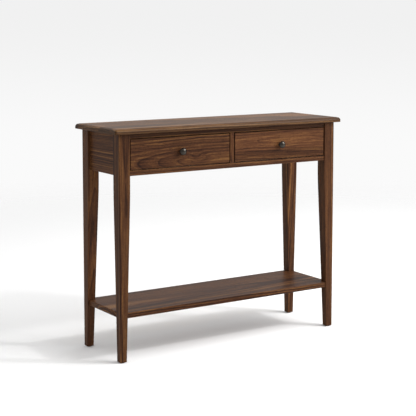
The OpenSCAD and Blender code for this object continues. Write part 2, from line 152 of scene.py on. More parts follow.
def dress(node: str, material: bpy.types.Material, ease: float = 0.0) -> None:
    """Gives one of the model's own nodes a finish and, if asked, eased edges.

    Args:
        node: The node's name.
        material: Its finish.
        ease: Width of the rounding on its sharp edges, in metres, or 0 for none.
    """
    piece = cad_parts[node]
    if not piece.material_slots:
        piece.data.materials.append(material)
    for slot in piece.material_slots:
        slot.material = material
    if ease:
        piece.modifiers.new("weld", "WELD").merge_threshold = WELD_DISTANCE
        bevel = piece.modifiers.new("eased_edges", "BEVEL")
        bevel.width = ease
        bevel.segments = 2
        bevel.limit_method = "ANGLE"
        bevel.angle_limit = math.radians(SHARP_ANGLE)
        piece.modifiers.new("flat_faces", "WEIGHTED_NORMAL").weight = FLAT_WEIGHT
    LOG.info("%s dressed in %s", node, material.name)


# ---------- finishes ----------


def linear(code: str) -> tuple[float, float, float, float]:
    """Turns an sRGB colour to a linear one.

    Args:
        code: A hex code such as "#6a4630".

    Returns:
        Red, green, blue and an alpha of 1.
    """
    parts = [int(code[i : i + 2], 16) / 255 for i in (1, 3, 5)]
    curve = [c / 12.92 if c <= 0.04045 else ((c + 0.055) / 1.055) ** 2.4 for c in parts]
    return (curve[0], curve[1], curve[2], 1.0)


def add(tree: bpy.types.NodeTree, kind: str, settings: dict | None = None,
        links: dict | None = None) -> bpy.types.Node:
    """Adds a node to a tree.

    Args:
        tree: The node tree.
        kind: The node's type, without its "ShaderNode" prefix.
        settings: Values by the name of a property, or by the name or number of an input.
        links: Output sockets by the name or number of the input that each one feeds.

    Returns:
        The new node.
    """
    node = tree.nodes.new("ShaderNode" + kind)
    for key, value in (settings or {}).items():
        if isinstance(key, str) and hasattr(node, key):
            setattr(node, key, value)
        else:
            node.inputs[key].default_value = value
    for key, socket in (links or {}).items():
        tree.links.new(socket, node.inputs[key])
    return node


def new_material(name: str) -> tuple[bpy.types.Material, bpy.types.NodeTree]:
    """Makes a material with an empty node tree.

    Args:
        name: The material's name.

    Returns:
        The material and its tree.
    """
    material = bpy.data.materials.new(name)
    material.use_nodes = True
    material.node_tree.nodes.clear()
    return material, material.node_tree


class Grain(Enum):
    """Which way a board's grain runs. The rows give the board's length, width and thickness."""

    LENGTHWAYS_FLAT = ((1, 0, 0), (0, 1, 0), (0, 0, 1))
    LENGTHWAYS_UPRIGHT = ((1, 0, 0), (0, 0, 1), (0, -1, 0))
    CROSSWAYS_FLAT = ((0, 1, 0), (-1, 0, 0), (0, 0, 1))
    CROSSWAYS_UPRIGHT = ((0, 1, 0), (0, 0, 1), (1, 0, 0))
    UPRIGHT = ((0, 0, 1), (1, 0, 0), (0, 1, 0))

    @property
    def turn(self) -> Euler:
        """The turn that brings the board's length to X, its width to Y and its thickness to Z."""
        return Matrix(self.value).to_euler()


@dataclass(frozen=True)
class Palette:
    """The colours of a wood, from its late wood to its palest early wood."""

    name: str
    dark: str
    middle: str
    warm: str
    pale: str
    pore: str


# Sizes of the wood's figure along, across and through a board, in millimetres. Real pores and
# fibres are several times finer, and are drawn as coarse as they need to be to show.
STREAK_SIZE = (150.0, 4.0, 4.0)
FIBRE_SIZE = (22.0, 0.9, 0.9)
PORE_SIZE = (5.0, 0.45, 0.45)
WANDER_SIZE = (230.0, 60.0, 60.0)
STAVE_SHIFT = (900.0, 60.0, 26.0)         # how far at most the next stave's wood is moved
PORE_RANGE = (0.62, 0.72)                 # noise values at a pore's rim and inside it
RAMP = (0.22, 0.42, 0.62, 0.86)           # figure values of the four colours, dark to pale
KNOT_STRETCH = 0.55                       # a knot's swirl is longer along the grain than across
KNOT_PUSH = (0.0, 0.6, 0.5)               # how far it pushes the grain, in knot radii
LATE_POWER = 2.5                          # how late in a year's growth the wood turns dark
EDGE_WEAR = 0.16                          # how much brighter a worn edge is
PAINTED_SHADE_FACING = (0.6, 0.97)                 # cosines of the turn at which a face takes the painted shade in full or not at all

# Black walnut: chocolate heartwood with purplish dark rings and tan streaks.
WALNUT = Palette("walnut", "#27160e", "#402617", "#54351f", "#76522e", "#150c07")
# The same wood as a lit copy for the top: a little greyer and yellower, with its upper face's sheen painted
# in.
LIT_WALNUT = Palette("walnut", "#27190f", "#3f2917", "#523822", "#6c5032", "#150c07")
# Hard maple: cream, with faint pinkish brown rings.
MAPLE = Palette("maple", "#b08a5e", "#c6a376", "#d0b083", "#dcc096", "#8c6a45")
# Rotary-cut birch: pale and nearly even.
BIRCH = Palette("birch", "#c09a6b", "#d0ad7e", "#d8b98c", "#e2c89e", "#9c7850")


@dataclass(frozen=True)
class Wood:
    """A sawn board, sanded and finished, with its figure worked out in the solid.

    The growth rings are sheets round the tree's pith, so their distance from it gives the bands
    on every face: arches where a face nearly meets the pith, straight lines where it stands on
    edge. A slow wander bends them, as in a real stem. Lengths are in millimetres.
    """

    palette: Palette
    grain: Grain
    seed: float = 0.0             # which piece of the noise the board is cut from
    ring: float = 10.0            # band spacing; wider than real rings, so that it shows
    pith: tuple[float, float] = (0.0, 45.0)               # the pith's place across and through
    centre: tuple[float, float, float] = (0.0, 0.0, 0.0)  # the board's middle, turned as it is
    lean: float = 0.05            # how fast the pith comes nearer along the board
    wander: float = 26.0          # how far the grain strays
    stave: float = 0.0            # width of the glued boards, or 0 for a single board
    stave_spread: float = 0.35    # how much the boards differ in brightness
    tone: float = 1.0             # brightness
    roughness: float = 0.4        # a satin lacquer
    gloss: float = 0.06           # a thin, well rubbed coat mirrors little
    knot: tuple[float, float, float] | None = None        # place along and across, and radius
    painted_edge_shade: float = 1.0        # painted shade: brightness of the faces turned from the board's face, for shade in gaps, on sides and on the top's edge

    def material(self, name: str) -> bpy.types.Material:
        """Builds the finish as a node material.

        Args:
            name: The piece that it is for.

        Returns:
            The material.
        """
        material, tree = new_material(f"{self.palette.name}_{name}")
        where = add(tree, "TexCoord").outputs["Object"]
        turned = add(tree, "Mapping", {"Scale": (1 / MM,) * 3, "Rotation": self.grain.turn,
                                       "Location": tuple(-c for c in self.centre)},
                     {"Vector": where}).outputs[0]
        turned, stave = self._staves(tree, turned)
        bent = self._bend(tree, turned)
        rings = self._rings(tree, bent)
        streak = self._noise(tree, bent, STREAK_SIZE, 3.0)
        fibre = self._noise(tree, turned, FIBRE_SIZE, 2.0)
        pores = self._pores(tree, turned)
        figure = self._figure(tree, rings, streak, fibre)
        self._surface(tree, figure, stave, fibre, pores)
        return material

    def _noise(self, tree: bpy.types.NodeTree, where: bpy.types.NodeSocket,
               size: tuple[float, float, float], detail: float) -> bpy.types.NodeSocket:
        """Makes cloudy values from 0 to 1.

        Args:
            tree: The node tree.
            where: The place on the board, in millimetres.
            size: Size of the spots along, across and through the board.
            detail: How many finer clouds are laid over the first.

        Returns:
            The values.
        """
        scaled = add(tree, "Mapping", {"Scale": tuple(1 / s for s in size),
                                       "Location": (self.seed * 7.3, self.seed * 3.1, self.seed)},
                     {"Vector": where})
        return add(tree, "TexNoise", {"Scale": 1.0, "Detail": detail, "Roughness": 0.55},
                   {"Vector": scaled.outputs[0]}).outputs["Fac"]

    def _staves(self, tree: bpy.types.NodeTree, where: bpy.types.NodeSocket
                ) -> tuple[bpy.types.NodeSocket, bpy.types.NodeSocket | None]:
        """Moves each glued board of a panel to wood of its own.

        The board's number is the whole part of its place across over the boards' width, and a
        random colour made from that number gives how far its wood is moved.

        Args:
            tree: The node tree.
            where: The place on the panel, in millimetres.

        Returns:
            The moved place, and a value from 0 to 1 that differs from board to board.
        """
        if not self.stave:
            return where, None
        across = add(tree, "SeparateXYZ", {}, {0: where}).outputs["Y"]
        number = add(tree, "Math", {"operation": "MULTIPLY_ADD", 1: 1 / self.stave,
                                    2: self.seed + 0.37}, {0: across})
        whole = add(tree, "Math", {"operation": "FLOOR"}, {0: number.outputs[0]})
        chance = add(tree, "TexWhiteNoise", {"noise_dimensions": "1D"}, {"W": whole.outputs[0]})
        shift = add(tree, "VectorMath", {"operation": "MULTIPLY", 1: STAVE_SHIFT},
                    {0: chance.outputs["Color"]})
        moved = add(tree, "VectorMath", {"operation": "ADD"}, {0: where, 1: shift.outputs[0]})
        return moved.outputs[0], chance.outputs["Value"]

    def _bend(self, tree: bpy.types.NodeTree, where: bpy.types.NodeSocket
              ) -> bpy.types.NodeSocket:
        """Lets the grain wander, and swirl round the knot if there is one.

        Slow noise, long along the grain, moves each point across it. Near a knot the move is
        added to by a bell curve: the knot's radius over e to the squared distance over radius.

        Args:
            tree: The node tree.
            where: The place on the board, in millimetres.

        Returns:
            The moved place.
        """
        slow = add(tree, "Mapping", {"Scale": tuple(1 / s for s in WANDER_SIZE),
                                     "Location": (self.seed, self.seed * 1.7, 0.0)}, {"Vector": where})
        cloud = add(tree, "TexNoise", {"Scale": 1.0, "Detail": 2.5, "Roughness": 0.5},
                    {"Vector": slow.outputs[0]})
        level = add(tree, "VectorMath", {"operation": "SUBTRACT", 1: (0.5, 0.5, 0.5)},
                    {0: cloud.outputs["Color"]})
        move = add(tree, "VectorMath", {"operation": "MULTIPLY_ADD",
                                        1: (0.0, self.wander, self.wander)},
                   {0: level.outputs[0], 2: where}).outputs[0]
        if self.knot is None:
            return move
        along, across, radius = self.knot
        away = add(tree, "VectorMath", {"operation": "SUBTRACT", 1: (along, across, 0.0)}, {0: where})
        flat = add(tree, "VectorMath", {"operation": "MULTIPLY",
                                        1: (KNOT_STRETCH / radius, 1 / radius, 0.0)},
                   {0: away.outputs[0]})
        square = add(tree, "VectorMath", {"operation": "DOT_PRODUCT"},
                     {0: flat.outputs[0], 1: flat.outputs[0]})
        bell = add(tree, "Math", {"operation": "POWER", 0: math.exp(-1)}, {1: square.outputs["Value"]})
        push = add(tree, "VectorMath", {"operation": "SCALE", 0: tuple(p * radius for p in KNOT_PUSH)},
                   {"Scale": bell.outputs[0]})
        return add(tree, "VectorMath", {"operation": "ADD"}, {0: move, 1: push.outputs[0]}).outputs[0]

    def _rings(self, tree: bpy.types.NodeTree, where: bpy.types.NodeSocket
               ) -> bpy.types.NodeSocket:
        """The distance from the pith, counted in rings.

        The pith runs along the board and leans towards it: its depth shrinks by the lean times
        the place along. The distance is the length of the across and depth parts together.

        Args:
            tree: The node tree.
            where: The place on the board after the grain's wander, in millimetres.

        Returns:
            The number of rings.
        """
        lean = add(tree, "SeparateXYZ", {}, {0: where})
        depth = add(tree, "Math", {"operation": "MULTIPLY_ADD", 1: self.lean},
                    {0: lean.outputs["X"], 2: lean.outputs["Z"]})
        section = add(tree, "CombineXYZ", {}, {1: lean.outputs["Y"], 2: depth.outputs[0]})
        from_pith = add(tree, "VectorMath", {"operation": "SUBTRACT", 1: (0.0, *self.pith)},
                        {0: section.outputs[0]})
        length = add(tree, "VectorMath", {"operation": "LENGTH"}, {0: from_pith.outputs[0]})
        return add(tree, "Math", {"operation": "DIVIDE", 1: self.ring},
                   {0: length.outputs["Value"]}).outputs[0]

    def _pores(self, tree: bpy.types.NodeTree, where: bpy.types.NodeSocket
               ) -> bpy.types.NodeSocket:
        """Scatters short dark pores along the grain.

        Args:
            tree: The node tree.
            where: The place on the board, in millimetres.

        Returns:
            1 in a pore and 0 elsewhere.
        """
        spots = self._noise(tree, where, PORE_SIZE, 0.0)
        rim, inside = PORE_RANGE
        return add(tree, "MapRange", {"From Min": rim, "From Max": inside}, {"Value": spots}).outputs[0]

    def _figure(self, tree: bpy.types.NodeTree, rings: bpy.types.NodeSocket,
                streak: bpy.types.NodeSocket, fibre: bpy.types.NodeSocket
                ) -> bpy.types.NodeSocket:
        """Puts the bands, streaks and fibres together into one value from dark 0 to pale 1.

        Uneven bands are noise along the ring count; within each ring the colour climbs and then
        drops, as early wood turns to late wood and the next year starts.

        Args:
            tree: The node tree.
            rings: The distance from the pith, in rings.
            streak: Long cloudy streaks.
            fibre: Short fine ones.

        Returns:
            The figure's value.
        """
        bands = add(tree, "TexNoise", {"noise_dimensions": "1D", "Scale": 0.9, "Detail": 3.0,
                                       "Roughness": 0.6}, {"W": rings}).outputs["Fac"]
        year = add(tree, "Math", {"operation": "FRACT"}, {0: rings})
        late = add(tree, "Math", {"operation": "POWER", 1: LATE_POWER}, {0: year.outputs[0]})
        parts = ((bands, 1.0), (late.outputs[0], -0.25), (streak, 0.8), (fibre, 0.45))
        total = None
        for value, weight in parts:
            settings = {"operation": "MULTIPLY_ADD", 1: weight}
            links = {0: value}
            if total is None:
                settings[2] = -0.56       # brings the mean of the sum to a half
            else:
                links[2] = total
            total = add(tree, "Math", settings, links).outputs[0]
        return total

    def _surface(self, tree: bpy.types.NodeTree, figure: bpy.types.NodeSocket,
                 stave: bpy.types.NodeSocket | None, fibre: bpy.types.NodeSocket,
                 pores: bpy.types.NodeSocket) -> None:
        """Colours the figure, paints shade on the faces turned from the board's face, and lays a satin
        lacquer over it that dips at the pores.

        Args:
            tree: The node tree.
            figure: The figure's value, from dark to pale.
            stave: A value that differs from stave to stave, or None for a single board.
            fibre: The fibres, which make the lacquer uneven.
            pores: 1 in a pore and 0 elsewhere.
        """
        ramp = add(tree, "ValToRGB", {}, {0: figure})
        stops = ramp.color_ramp.elements
        stops[0].position, stops[0].color = RAMP[0], linear(self.palette.dark)
        stops[1].position, stops[1].color = RAMP[3], linear(self.palette.pale)
        stops.new(RAMP[1]).color = linear(self.palette.middle)
        stops.new(RAMP[2]).color = linear(self.palette.warm)
        edge = add(tree, "Attribute", {"attribute_name": "edge"}).outputs["Fac"]
        bright = add(tree, "Math", {"operation": "MULTIPLY_ADD", 1: EDGE_WEAR, 2: self.tone},
                     {0: edge})
        if stave is not None:
            spread = add(tree, "MapRange", {"To Min": 1 - self.stave_spread / 2,
                                            "To Max": 1 + self.stave_spread / 2}, {"Value": stave})
            bright = add(tree, "Math", {"operation": "MULTIPLY"},
                         {0: bright.outputs[0], 1: spread.outputs[0]})
        # Painted shade: faces turned away from the board's face are darkened, standing in for the shade in
        # gaps, on shaded sides and on the top's moulded edge.
        if self.painted_edge_shade < 1:
            facing = add(tree, "VectorMath", {"operation": "DOT_PRODUCT", 1: self.grain.value[2]},
                         {0: add(tree, "TexCoord").outputs["Normal"]})
            flat = add(tree, "Math", {"operation": "ABSOLUTE"}, {0: facing.outputs["Value"]})
            painted_shade = add(tree, "MapRange", {"From Min": PAINTED_SHADE_FACING[0], "From Max": PAINTED_SHADE_FACING[1],
                                           "To Min": self.painted_edge_shade}, {"Value": flat.outputs[0]})
            bright = add(tree, "Math", {"operation": "MULTIPLY"},
                         {0: bright.outputs[0], 1: painted_shade.outputs[0]})
        shade = add(tree, "VectorMath", {"operation": "SCALE"},
                    {0: ramp.outputs["Color"], "Scale": bright.outputs[0]})
        opened = add(tree, "Mix", {"data_type": "RGBA", 7: linear(self.palette.pore)},
                     {"Factor": pores, 6: shade.outputs[0]})
        rough = add(tree, "MapRange", {"To Min": self.roughness - 0.06, "To Max": self.roughness + 0.1},
                    {"Value": fibre})
        hollow = add(tree, "Math", {"operation": "MULTIPLY_ADD", 1: -1.0}, {0: pores, 2: fibre})
        bump = add(tree, "Bump", {"Strength": 0.35, "Distance": 0.12 * MM}, {"Height": hollow.outputs[0]})
        shader = add(tree, "BsdfPrincipled", {"IOR": 1.5, "Specular IOR Level": self.gloss},
                     {"Base Color": opened.outputs[2], "Roughness": rough.outputs[0],
                      "Normal": bump.outputs[0]})
        add(tree, "OutputMaterial", {}, {"Surface": shader.outputs[0]})


@dataclass(frozen=True)
class Metal:
    """A cast or plated metal, with a fine grit, cloudy tarnish and rims that wear brighter."""

    name: str
    colour: str
    worn: str
    roughness: float
    grit: float                   # size of the surface's grit, in millimetres

    def material(self) -> bpy.types.Material:
        """Builds the finish: worn, brighter metal on the rims and cloudy tarnish elsewhere.

        Returns:
            The material.
        """
        material, tree = new_material(self.name)
        where = add(tree, "TexCoord").outputs["Object"]
        cloud = add(tree, "TexNoise", {"Scale": 1 / (9 * self.grit * MM), "Detail": 4.0},
                    {"Vector": where}).outputs["Fac"]
        grit = add(tree, "TexNoise", {"Scale": 1 / (self.grit * MM), "Detail": 1.0},
                   {"Vector": where}).outputs["Fac"]
        edge = add(tree, "Attribute", {"attribute_name": "edge"}).outputs["Fac"]
        wear = add(tree, "Math", {"operation": "MULTIPLY_ADD", 1: 0.45, "use_clamp": True},
                   {0: cloud, 2: edge})
        tint = add(tree, "Mix", {"data_type": "RGBA", 6: linear(self.colour), 7: linear(self.worn)},
                   {"Factor": wear.outputs[0]})
        rough = add(tree, "MapRange", {"To Min": self.roughness - 0.08, "To Max": self.roughness + 0.12},
                    {"Value": cloud})
        bump = add(tree, "Bump", {"Strength": 0.15, "Distance": 0.03 * MM}, {"Height": grit})
        shader = add(tree, "BsdfPrincipled", {"Metallic": 1.0},
                     {"Base Color": tint.outputs[2], "Roughness": rough.outputs[0],
                      "Normal": bump.outputs[0]})
        add(tree, "OutputMaterial", {}, {"Surface": shader.outputs[0]})
        return material


@dataclass(frozen=True)
class Nylon:
    """Moulded black nylon: matt and cloudy, with scuffs from being pushed over floors."""

    colour: str = "#262322"
    scuff: str = "#4a4644"
    scuff_size: float = 4.0       # in millimetres

    def material(self) -> bpy.types.Material:
        """Builds the finish.

        Returns:
            The material.
        """
        material, tree = new_material("moulded_nylon")
        where = add(tree, "TexCoord").outputs["Object"]
        cloud = add(tree, "TexNoise", {"Scale": 1 / (self.scuff_size * MM), "Detail": 5.0},
                    {"Vector": where})
        tint = add(tree, "Mix", {"data_type": "RGBA", 6: linear(self.colour), 7: linear(self.scuff)},
                   {"Factor": cloud.outputs["Fac"]})
        rough = add(tree, "MapRange", {"To Min": 0.5, "To Max": 0.75}, {"Value": cloud.outputs["Fac"]})
        shader = add(tree, "BsdfPrincipled", {},
                     {"Base Color": tint.outputs[2], "Roughness": rough.outputs[0]})
        add(tree, "OutputMaterial", {}, {"Surface": shader.outputs[0]})
        return material


# ---------- sub-assemblies ----------


@dataclass
class TableTop:
    """The glued-up top, with a moulded edge: a small step, a large round and a narrow flat."""

    node: str = "table_top"
    edge_radius: float = 11.0 * MM
    step: float = 0.8 * MM
    corner_radius: float = 7.5 * MM
    arris: float = 1.2 * MM
    border: float = 14.0 * MM
    # Painted sheen: the lit palette and a tone of 1.78 paint the grazing reflection into the top's faces,
    # and its moulded edge is painted darker than its faces, as painted shade.
    finish: Wood = Wood(LIT_WALNUT, Grain.LENGTHWAYS_FLAT, seed=2.0, ring=7.0,
                        pith=(10.0, 60.0), stave=76.0, wander=7.0, lean=0.01, stave_spread=0.6, tone=1.78,
                        painted_edge_shade=0.5, gloss=0.08)

    def profile(self, thickness: float) -> tuple[np.ndarray, np.ndarray, np.ndarray]:
        """The edge's outline, from the underside up.

        It is a small quarter circle, a straight flat, a large quarter circle, a ledge and a rise
        to the upper face. Each quarter circle is its radius times one less the cosine or sine.

        Args:
            thickness: The top's thickness.

        Returns:
            How far in each row lies, its height over the underside, and how worn it is.
        """
        r, s, a = self.edge_radius, self.step, self.arris
        shoulder = thickness - s
        cos_a, sin_a = arc(0, 90, 5)
        cos_r, sin_r = arc(0, 90, 13)
        inset = np.concatenate([[self.border, 2 * a], a * (1 - sin_a), r * (1 - cos_r),
                                [r + 0.6 * s, r + 0.9 * s, r + 1.1 * s, r + 2 * s, self.border + r]])
        height = np.concatenate([[0, 0], a * (1 - cos_a), shoulder - r * (1 - sin_r),
                                 [shoulder, shoulder + 0.7 * s, thickness - 0.05 * s, thickness,
                                  thickness]])
        worn = np.concatenate([[0, 0], sin_a, 0.4 + 0.6 * sin_r * cos_r, [0, 0.2, 0.6, 0, 0]])
        return inset, height, worn

    def build(self) -> bpy.types.Object:
        """Carries the edge's outline round the rounded rectangle of the top's plan.

        Returns:
            The new piece.
        """
        low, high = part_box(self.node)
        inset, height, worn = self.profile(high[2] - low[2])
        half = np.array([(high[0] - low[0]) / 2, (high[1] - low[1]) / 2])
        corner = np.maximum(self.corner_radius - inset, 0.2 * MM)
        plan = rounded_rectangles(half[None] - inset[:, None], corner, 7)
        rise = np.broadcast_to((low[2] + height)[:, None, None], (*plan.shape[:2], 1))
        piece = closed_surface("moulded_top", np.concatenate([plan, rise], axis=-1), worn)
        piece.data.materials.append(self.finish.material("top"))
        place(piece, self.node, "table", "walnut")
        return piece


@dataclass
class TaperedLeg:
    """A leg that is square by the aprons and tapers below them on its two inner faces."""

    node: str
    seed: float
    tone: float
    painted_side_shade: float = 1.0        # painted shade: brightness of the faces to the left and right
    pith: tuple[float, float] = (26.0, 52.0)
    foot_width: float = 25.0 * MM
    taper_start: float = 577.0 * MM
    blend: float = 0.06           # part of the taper's height over which its start is softened
    blend_reach: float = 1.2      # how many times that the finer rows reach either way
    edge_radius: float = 1.6 * MM
    foot_round: float = 1.5 * MM
    above_foot: float = 30.0 * MM
    below_top: float = 4.0 * MM

    def width(self, height: np.ndarray, foot: float, full: float) -> np.ndarray:
        """The leg's width at some heights.

        It grows evenly from the foot to the start of the taper and then stays. The corner between
        the two is softened: the smaller of the two values, less a small arch where they meet.

        Args:
            height: Heights over the floor.
            foot: Height of the foot's end.
            full: Width over the taper.

        Returns:
            The widths.
        """
        share = (height - foot) / (self.taper_start - foot)
        mix = np.clip(0.5 + 0.5 * (1 - share) / self.blend, 0, 1)
        soft = share * mix + (1 - mix) - self.blend * mix * (1 - mix)
        return self.foot_width + (full - self.foot_width) * soft

    def build(self) -> bpy.types.Object:
        """Carries a rounded square up the leg, with its outer sides kept in one plane.

        Returns:
            The new piece.
        """
        low, high = (np.array(c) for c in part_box(self.node))
        sign = np.sign(low[:2] + high[:2])
        outer = np.where(sign > 0, high[:2], low[:2])
        cos_f, sin_f = arc(0, 90, 5)
        lower = low[2] + self.foot_round * (1 - cos_f)
        share = self.blend * np.linspace(-self.blend_reach, self.blend_reach, 13)
        bend = self.taper_start + (self.taper_start - low[2]) * share
        height = np.concatenate([lower, [lower[-1] + self.above_foot], bend,
                                 [high[2] - self.below_top, high[2]]])
        inset = np.concatenate([self.foot_round * (1 - sin_f), np.zeros(len(height) - len(lower))])
        width = self.width(height, low[2], high[0] - low[0])
        middle = outer[None] - sign[None] * width[:, None] / 2
        half = np.repeat((width / 2 - inset)[:, None], 2, axis=1)
        plan = rounded_rectangles(half, np.full(len(height), self.edge_radius), 5) + middle[:, None]
        rise = np.broadcast_to(height[:, None, None], (*plan.shape[:2], 1))
        worn = np.where(inset > 0, 1.0, 0.0)
        piece = closed_surface(f"{self.node}_tapered", np.concatenate([plan, rise], axis=-1), worn)
        finish = Wood(WALNUT, Grain.UPRIGHT, seed=self.seed, ring=7.0, pith=self.pith,
                      centre=(0.0, *(outer / MM)), wander=5.0, lean=0.006, tone=self.tone,
                      painted_edge_shade=self.painted_side_shade)
        piece.data.materials.append(finish.material(self.node))
        place(piece, self.node, "table", "walnut")
        return piece


@dataclass
class LowerShelf:
    """The shelf, notched at its corners round the legs."""

    node: str = "lower_shelf"
    leg: str = "rear_right_leg"
    notch_gap: float = 0.3 * MM
    edge_radius: float = 2.0 * MM
    finish: Wood = Wood(WALNUT, Grain.LENGTHWAYS_FLAT, seed=5.4, ring=7.0, pith=(0.0, 70.0),
                        stave=87.0, wander=8.0, lean=0.015, stave_spread=0.2, tone=1.02)

    def outline(self, half: np.ndarray, notch: np.ndarray) -> tuple[np.ndarray, np.ndarray]:
        """The plan's twelve corners, anticlockwise, and the way that each moves as it shrinks.

        Each quarter has three corners: two where the notch meets the sides and one inside it.
        All three move in along the diagonal of their quarter.

        Args:
            half: The shelf's half sizes.
            notch: The notch's sizes.

        Returns:
            The corners and their directions.
        """
        inner = half - notch
        quarter = np.array([[half[0], inner[1]], inner, [inner[0], half[1]]])
        corners, ways = [], []
        for sign in ((1, 1), (-1, 1), (-1, -1), (1, -1)):
            order = 1 if sign[0] * sign[1] > 0 else -1
            corners.append((quarter * sign)[::order])
            ways.append(np.broadcast_to(-np.array(sign), (3, 2)))
        return np.concatenate(corners), np.concatenate(ways).astype(float)

    def build(self, leg: TaperedLeg) -> bpy.types.Object:
        """Carries a rounded edge round the notched plan.

        Args:
            leg: Any of the legs, for its width where the shelf meets it.

        Returns:
            The new piece.
        """
        low, high = (np.array(c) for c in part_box(self.node))
        leg_low, leg_high = (np.array(c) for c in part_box(self.leg))
        width = leg.width(high[2], leg_low[2], leg_high[0] - leg_low[0])
        notch = high[:2] - (leg_high[:2] - width) + self.notch_gap
        corners, ways = self.outline(high[:2], notch)
        r = self.edge_radius
        cos_r, sin_r = arc(0, 90, 5)
        inset = np.concatenate([[4 * r], r * (1 - sin_r), r * (1 - cos_r), [4 * r]])
        height = np.concatenate([[low[2]], low[2] + r * (1 - cos_r), high[2] - r * (1 - sin_r),
                                 [high[2]]])
        worn = np.concatenate([[0], sin_r * cos_r, 2 * sin_r * cos_r, [0]])
        plan = corners[None] + inset[:, None, None] * ways[None]
        rise = np.broadcast_to(height[:, None, None], (*plan.shape[:2], 1))
        piece = closed_surface("notched_shelf", np.concatenate([plan, rise], axis=-1), worn)
        piece.data.materials.append(self.finish.material("shelf"))
        place(piece, self.node, "table", "walnut")
        return piece


@dataclass
class Carcass:
    """The aprons, rails and divider between the legs."""

    ease: float = 0.8 * MM

    def finishes(self) -> dict[str, Wood]:
        """Says which board each piece is sawn from.

        Returns:
            The finishes by node.
        """
        upright, across = Grain.LENGTHWAYS_UPRIGHT, Grain.CROSSWAYS_UPRIGHT
        return {
            # The upper rail's low tone paints the shade under the top's overhang, and the rails' darkened
            # top, bottom and end faces are painted shade in the gaps round the drawers.
            "upper_front_rail": Wood(WALNUT, upright, seed=11.0, ring=6.0, pith=(-300.0, 40.0),
                                     wander=6.0, tone=0.66, painted_edge_shade=0.3),
            "lower_front_rail": Wood(WALNUT, upright, seed=12.0, ring=6.0, pith=(-100.0, 50.0),
                                     wander=6.0, painted_edge_shade=0.35),
            "centre_divider": Wood(WALNUT, Grain.UPRIGHT, seed=13.0, ring=6.0, pith=(30.0, 60.0),
                                   wander=2.0),
            "left_side_apron": Wood(WALNUT, across, seed=14.0, centre=(0.0, 710.0, -430.0), ring=7.0,
                                    pith=(95.0, 30.0), wander=6.0, lean=0.02),
            "right_side_apron": Wood(WALNUT, across, seed=15.0, centre=(0.0, 700.0, 430.0), ring=7.0,
                                     pith=(90.0, 30.0), wander=6.0, lean=0.02),
            "rear_apron": Wood(WALNUT, upright, seed=16.0, centre=(0.0, 705.0, -115.0), ring=9.0,
                               pith=(0.0, 55.0), wander=18.0),
        }

    def dress(self) -> None:
        """Finishes each piece."""
        for node, wood in self.finishes().items():
            dress(node, wood.material(node), self.ease)


@dataclass
class DrawerCarriage:
    """The maple runners, kickers, guides and stops that the drawers slide on."""

    ease: float = 0.6 * MM
    sides: tuple[str, ...] = ("left", "centre", "right")
    heights: tuple[tuple[str, float], ...] = (("runner", 648.0), ("kicker", 773.0), ("guide", 667.0))

    def dress(self) -> None:
        """Finishes each piece, with its grain from front to back; the stops' runs lengthways."""
        for number, side in enumerate(self.sides):
            for kind, height in self.heights:
                wood = Wood(MAPLE, Grain.CROSSWAYS_FLAT, seed=20.0 + number + height / 10, ring=8.0,
                            centre=(0.0, 0.0, height), pith=(12.0, 40.0), wander=12.0,
                            roughness=0.55)
                node = f"{side}_{kind}"
                dress(node, wood.material(node), self.ease)
        for side in ("left", "right"):
            node = f"{side}_drawer_stop"
            wood = Wood(MAPLE, Grain.LENGTHWAYS_UPRIGHT, seed=31.0, centre=(0.0, 700.0, 0.0),
                        roughness=0.55)
            dress(node, wood.material(node), self.ease)


